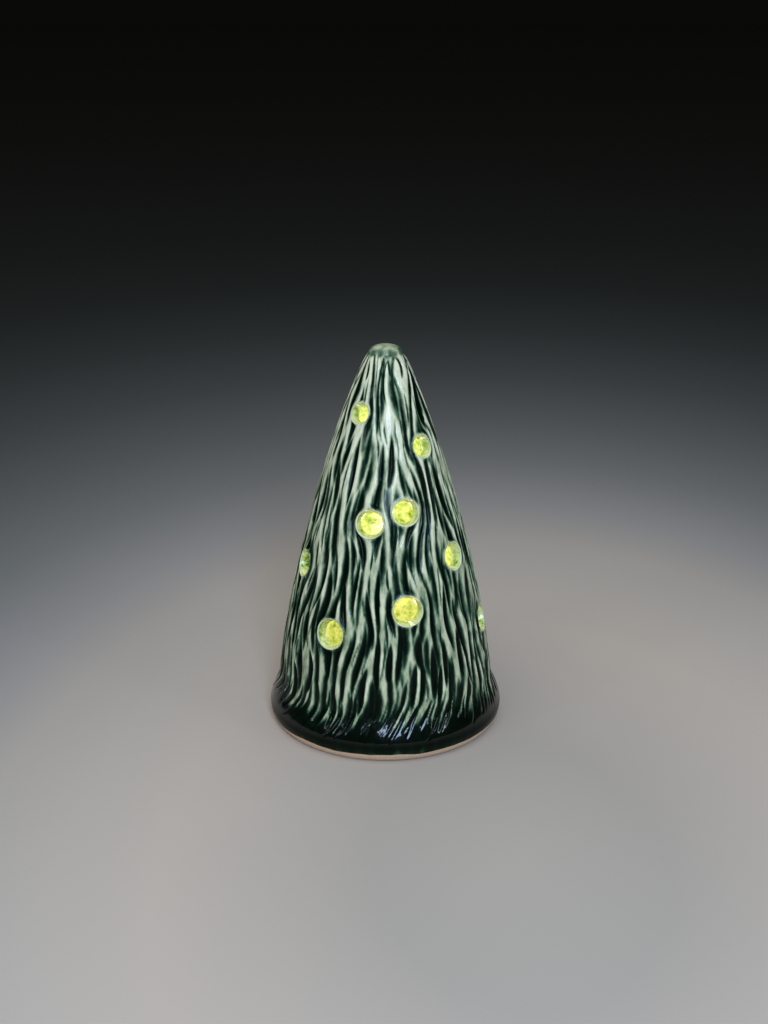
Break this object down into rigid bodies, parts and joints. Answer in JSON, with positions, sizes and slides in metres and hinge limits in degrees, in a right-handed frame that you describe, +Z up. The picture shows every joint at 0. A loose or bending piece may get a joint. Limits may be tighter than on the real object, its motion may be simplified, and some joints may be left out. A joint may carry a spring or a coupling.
{
  "type": "christmas tree luminary",
  "caption": "Carved, glazed ceramic cone tree with round light holes, open below, that stands over a battery tea light with a flame tip, a slide switch and a turning battery door.",
  "frame": {"origin": "on the table under the middle of the tree", "axes": "+Z up along the tree's axis, -Y towards the side that the picture shows, +X to that side's right"},
  "size_m": [0.103, 0.103, 0.168],
  "materials": {
    "glazed_stoneware": "glossy celadon glaze, near black in the carving, bare clay under the foot",
    "cup_plastic": "moulded, satin",
    "flame_plastic": "translucent, lit from inside",
    "led_epoxy": "clear cast epoxy",
    "tinned_wire": "tinned",
    "switch_plastic": "moulded, satin",
    "contact_strip": "rolled spring strip",
    "cell_steel": "nickel plated",
    "screw_steel": "zinc plated"
  },
  "bodies": {
    "tealight": {"tealight_cup": "cup_plastic", "flame_lens": "flame_plastic", "led_bulb": "led_epoxy", "led_anode_lead": "tinned_wire", "led_cathode_lead": "tinned_wire", "tealight_chassis": "cup_plastic", "positive_contact": "contact_strip", "negative_contact": "contact_strip", "coin_cell": "cell_steel", "chassis_screw_front": "screw_steel", "chassis_screw_back": "screw_steel"},
    "tree": {"tree_shell": "glazed_stoneware"},
    "battery_door": {"battery_door": "cup_plastic"},
    "switch": {"switch_slider": "switch_plastic"}
  },
  "joints": [
    {"name": "tree_lift", "type": "slide", "parent": "tealight", "child": "tree", "axis": [0, 0, 1], "range_m": [0, 0.06]},
    {"name": "battery_door_turn", "type": "hinge", "parent": "tealight", "child": "battery_door", "pos_m": [-0.0035, 0, 0], "axis": [0, 0, 1], "range_deg": [0, 40]},
    {"name": "switch_slide", "type": "slide", "parent": "tealight", "child": "switch", "axis": [0, 1, 0], "range_m": [-0.003, 0]}
  ]
}
